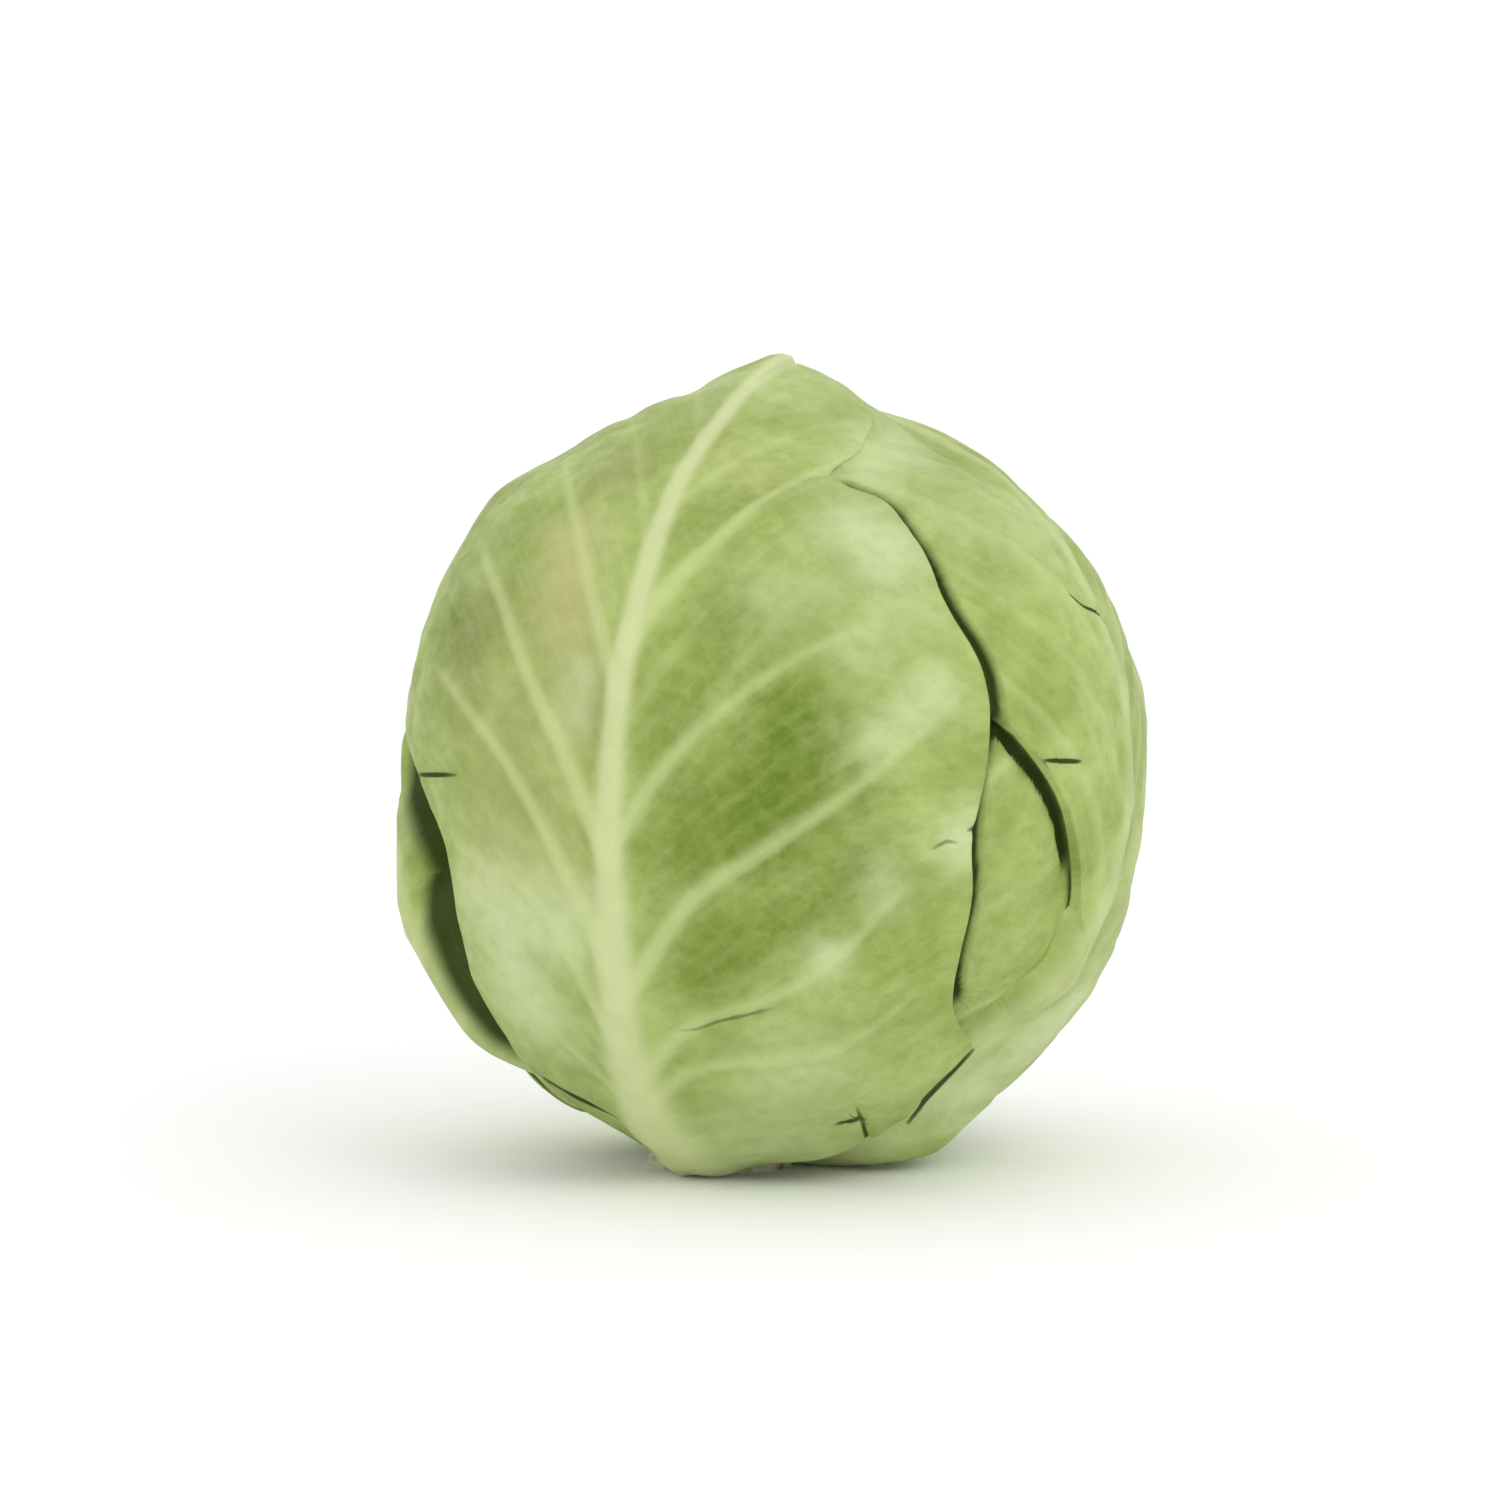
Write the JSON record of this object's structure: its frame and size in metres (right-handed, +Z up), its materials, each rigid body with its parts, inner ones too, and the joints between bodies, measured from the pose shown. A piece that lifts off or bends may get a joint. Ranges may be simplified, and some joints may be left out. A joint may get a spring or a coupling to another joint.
{
  "type": "green cabbage head",
  "caption": "Whole head of green cabbage: broad ribbed wrapper leaves folded over one another round a dense heart, on a cut stalk.",
  "frame": {"origin": "on the surface it rests on, under the middle of the head's box", "axes": "+Z up, from the cut stalk to the crown; -Y is the side with the broad front leaf; +X is its right"},
  "size_m": [0.1599, 0.1564, 0.1721],
  "materials": {
    "stalk": "pale cut stalk, fibrous and matte",
    "heart": "pale green young leaves, waxy and satin",
    "leaf_front": "light green leaf with pale veins, waxy and satin",
    "leaf_back_left": "light green leaf with pale veins, waxy and satin",
    "leaf_right": "light green leaf with pale veins, waxy and satin",
    "leaf_left": "green leaf with pale veins, waxy and satin",
    "leaf_back_right": "light green leaf with pale veins, waxy and satin",
    "leaf_front_under": "light green leaf with pale veins, waxy and satin"
  },
  "bodies": {
    "root": {"stalk": "stalk", "heart": "heart", "leaf_front": "leaf_front", "leaf_back_left": "leaf_back_left", "leaf_right": "leaf_right", "leaf_left": "leaf_left", "leaf_back_right": "leaf_back_right", "leaf_front_under": "leaf_front_under"}
  },
  "joints": []
}
